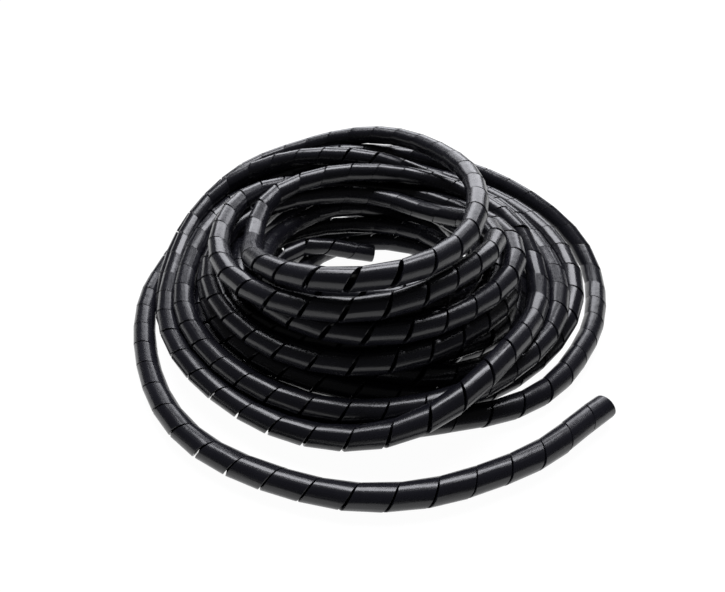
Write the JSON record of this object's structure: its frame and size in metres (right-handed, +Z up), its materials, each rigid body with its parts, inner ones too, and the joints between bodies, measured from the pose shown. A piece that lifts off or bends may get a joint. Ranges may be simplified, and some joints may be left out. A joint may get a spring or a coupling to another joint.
{
  "type": "spiral cable wrap",
  "caption": "Loose heaped coil of black plastic spiral wrap with its free tail lying in front, for bundling and protecting cables.",
  "frame": {"origin": "on the floor, under the middle of the whole heap with its tail", "axes": "+Z up along the coil's turning axis, +X to the right along the longest extent, the free tail along the front at -Y"},
  "size_m": [0.2978, 0.2634, 0.0792],
  "materials": {
    "wrap": "semi-gloss black polyethylene"
  },
  "bodies": {
    "root": {"coil": "wrap", "tail": "wrap", "loose_turn": "wrap"}
  },
  "joints": []
}
